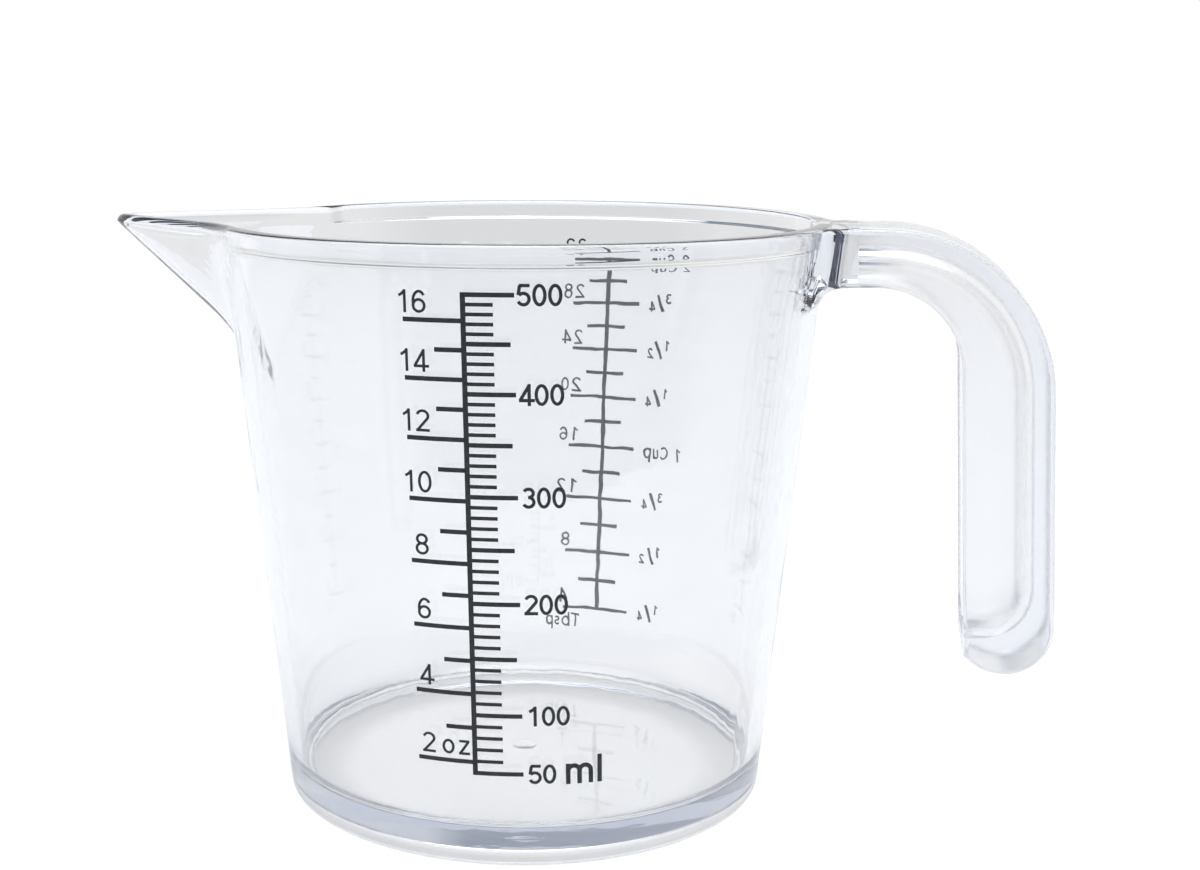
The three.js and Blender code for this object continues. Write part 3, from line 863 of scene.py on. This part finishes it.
def black_ink(name, thin, thick):
    """Screen-printed ink, a little uneven in depth and gloss."""
    material, tree, shader = new_material(name)
    shade = colour_mix(tree, -250, 300, A=thick, B=thin)
    tree.links.new(mottle(tree, 300, scale=1400.0, low=0.0, high=1.0), shade.inputs["Factor"])
    tree.links.new(shade.outputs["Result"], shader.inputs["Base Color"])
    tree.links.new(mottle(tree, 0, scale=900.0, low=0.35, high=0.6), shader.inputs["Roughness"])
    ripple(tree, shader, -300, scale=2500.0, distance=0.004 * MM)
    return material


# Brightness of the sheet at distances in from the outer edge of the foot
CONTACT_SHADE = [(11.0 * MM, 1.0), (6.0 * MM, 0.75), (1.3 * MM, 0.65), (1.0 * MM, 1.0)]
PICTURE_LIFT = 0.65


def contact_shade(tree, y):
    """The soft shade on the sheet where the foot's ring stands on it."""
    coords = node(tree, "ShaderNodeTexCoord", -1000, y)
    away = node(tree, "ShaderNodeVectorMath", -800, y)
    away.operation = "DISTANCE"
    away.inputs[1].default_value = (AXIS_X, 0, 0)
    share = node(tree, "ShaderNodeMapRange", -600, y, From_Max=outer_radius(0))
    stops = [(1 - inset / outer_radius(0), grey(tone)) for inset, tone in CONTACT_SHADE]
    tones = colour_ramp(tree, -400, y, stops)
    tree.links.new(coords.outputs["Object"], away.inputs[0])
    tree.links.new(away.outputs["Value"], share.inputs["Value"])
    tree.links.new(share.outputs["Result"], tones.inputs["Fac"])
    return tones.outputs["Color"]


def pale_floor():
    """A matt white sheet with a faint grain, lifted to white in the picture itself, as in a cut-out."""
    material, tree, shader = new_material("pale_floor")
    output = tree.nodes["Material Output"]
    white = colour_mix(tree, -250, 300, A=grey(0.90), B=grey(0.93))
    tree.links.new(mottle(tree, 300, scale=30.0, low=0.0, high=1.0), white.inputs["Factor"])
    shaded = colour_mix(tree, -100, 300, blend="MULTIPLY")
    shaded.inputs["Factor"].default_value = 1.0
    tree.links.new(white.outputs["Result"], shaded.inputs["A"])
    tree.links.new(contact_shade(tree, 600), shaded.inputs["B"])
    tree.links.new(shaded.outputs["Result"], shader.inputs["Base Color"])
    shader.inputs["Roughness"].default_value = 0.8
    shader.inputs["Specular IOR Level"].default_value = 0.1
    ripple(tree, shader, -100, scale=600.0, distance=0.01 * MM)
    path = node(tree, "ShaderNodeLightPath", 0, 300)
    share = node(tree, "ShaderNodeMath", 200, 300)
    share.operation = "MULTIPLY"
    share.inputs[1].default_value = PICTURE_LIFT
    glow = node(tree, "ShaderNodeEmission", 200, -100, Strength=1.12)
    mix = node(tree, "ShaderNodeMixShader", 400, 0)
    tree.links.new(path.outputs["Is Camera Ray"], share.inputs[0])
    tree.links.new(share.outputs["Value"], mix.inputs[0])
    tree.links.new(shader.outputs["BSDF"], mix.inputs[1])
    tree.links.new(glow.outputs["Emission"], mix.inputs[2])
    tree.links.new(mix.outputs["Shader"], output.inputs["Surface"])
    return material


# Stage
SHEET_RADIUS = 1.1
SHEET_GAP = 0.05 * MM


def make_floor():
    """A round sheet, a hair's breadth under the foot so that air shines between them."""
    angles = steps(0, 2 * math.pi, 96)[:-1]
    rim = [(SHEET_RADIUS * math.cos(a), SHEET_RADIUS * math.sin(a), -SHEET_GAP) for a in angles]
    mesh = bpy.data.meshes.new("floor")
    mesh.from_pydata(rim, [], [tuple(range(len(rim)))])
    mesh.materials.append(pale_floor())
    link("floor", mesh)


PHOTO_WIDTH, PHOTO_HEIGHT = 1200, 870
VIEW_TURN = math.radians(11)
VIEW_PITCH = 0.1808
VIEW_DISTANCE = 0.29986
VIEW_HEIGHT = 0.12069
FOCAL_PIXELS = 1749.7
PRINCIPAL_X, PRINCIPAL_Y = 524.7, 409.7


def make_camera():
    camera = bpy.data.cameras.new("photo_camera")
    camera.sensor_width = 36
    camera.lens = FOCAL_PIXELS * camera.sensor_width / PHOTO_WIDTH
    camera.shift_x = (PHOTO_WIDTH / 2 - PRINCIPAL_X) / PHOTO_WIDTH
    camera.shift_y = (PRINCIPAL_Y - PHOTO_HEIGHT / 2) / PHOTO_WIDTH
    camera.clip_start = 0.01
    stand = link("photo_camera", camera)
    stand.location = (AXIS_X + VIEW_DISTANCE * math.sin(VIEW_TURN),
                      -VIEW_DISTANCE * math.cos(VIEW_TURN), VIEW_HEIGHT)
    stand.rotation_euler = (math.pi / 2 - VIEW_PITCH, 0, VIEW_TURN)
    bpy.context.scene.camera = stand


# Tones of the room by the upward share of a direction, then on the camera's side and to the right
ROOM_TONES = [(0.10, (0.80, 0.805, 0.81, 1)), (0.20, grey(0.95)), (0.30, grey(0.93)),
              (0.55, (0.12, 0.17, 0.25, 1))]
DIM_SIDE = (0.03, 0.06, 0.12, 1)
BRIGHT_SIDE = grey(0.98)


def make_world():
    """A white surround for the picture, and a room of other tones for the cup to mirror and bend."""
    world = bpy.data.worlds.new("studio")
    bpy.context.scene.world = world
    world.use_nodes = True
    tree = world.node_tree
    background = tree.nodes["Background"]
    coords = node(tree, "ShaderNodeTexCoord", -1100, 0)
    split = node(tree, "ShaderNodeSeparateXYZ", -900, 0)
    tones = colour_ramp(tree, -700, -150, ROOM_TONES)
    right = node(tree, "ShaderNodeMapRange", -900, -400, From_Min=-0.02, From_Max=0.10)
    sides = colour_mix(tree, -500, -200, B=BRIGHT_SIDE)
    ahead = node(tree, "ShaderNodeMapRange", -700, 150, From_Min=-0.6, From_Max=-0.1)
    room = colour_mix(tree, -400, 0, A=DIM_SIDE)
    path = node(tree, "ShaderNodeLightPath", -400, 300)
    colour = colour_mix(tree, -200, 0, B=grey(1))
    tree.links.new(coords.outputs["Generated"], split.inputs[0])
    tree.links.new(split.outputs["Z"], tones.inputs["Fac"])
    tree.links.new(split.outputs["Y"], ahead.inputs["Value"])
    tree.links.new(ahead.outputs["Result"], room.inputs["Factor"])
    tree.links.new(split.outputs["X"], right.inputs["Value"])
    tree.links.new(right.outputs["Result"], sides.inputs["Factor"])
    tree.links.new(tones.outputs["Color"], sides.inputs["A"])
    tree.links.new(sides.outputs["Result"], room.inputs["B"])
    tree.links.new(path.outputs["Is Camera Ray"], colour.inputs["Factor"])
    tree.links.new(room.outputs["Result"], colour.inputs["A"])
    tree.links.new(colour.outputs["Result"], background.inputs["Color"])
    background.inputs["Strength"].default_value = 1.03


def area_light(name, location, target, size, power):
    light = bpy.data.lights.new(name, "AREA")
    light.shape = "RECTANGLE"
    light.size, light.size_y = size
    light.energy = power
    stand = link(name, light)
    stand.location = location
    aim = Vector(target) - stand.location
    stand.rotation_euler = aim.to_track_quat("-Z", "Y").to_euler()


def make_lights():
    """Even light over the whole sheet, and a soft box over the cup that brightens the sheet round it."""
    light = bpy.data.lights.new("overhead", "SUN")
    light.energy = 1.52
    light.angle = math.radians(70)
    stand = link("overhead", light)
    stand.rotation_euler = (math.radians(12), math.radians(-10), 0)
    area_light("soft_box", (-0.1, 0.25, 1.1), (0, 0.2, 0), (0.7, 0.7), 3.0)


def set_render_look():
    scene = bpy.context.scene
    scene.view_settings.view_transform = "Standard"
    scene.cycles.max_bounces = 48
    scene.cycles.transmission_bounces = 48
    scene.cycles.glossy_bounces = 24
    scene.cycles.transparent_max_bounces = 32


make_camera()
make_world()
make_lights()
make_floor()
set_render_look()

moulding = make_moulding()
moulding.data.materials.clear()
moulding.data.materials.append(clear_plastic())
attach(moulding, "root")
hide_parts("foot_ring", "floor_disc", "bowl_wall", "rim_band", "pouring_spout",
            "handle_root", "handle_grip")

front_ink = black_ink("black_ink", (0.022, 0.028, 0.032, 1), (0.004, 0.006, 0.008, 1))
# Painted light: the back scale is the same black ink, painted lighter and bluer for the light that veils it
# through the walls.
back_ink = black_ink("back_ink_painted_light", (0.10, 0.135, 0.15, 1), (0.05, 0.07, 0.08, 1))
prints = [(make_front_scale(), front_ink, "front_scale"), (make_back_scale(), back_ink, "back_scale")]
for scale, ink, replaced in prints:
    scale.data.materials.append(ink)
    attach(scale, "root")
    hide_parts(replaced)
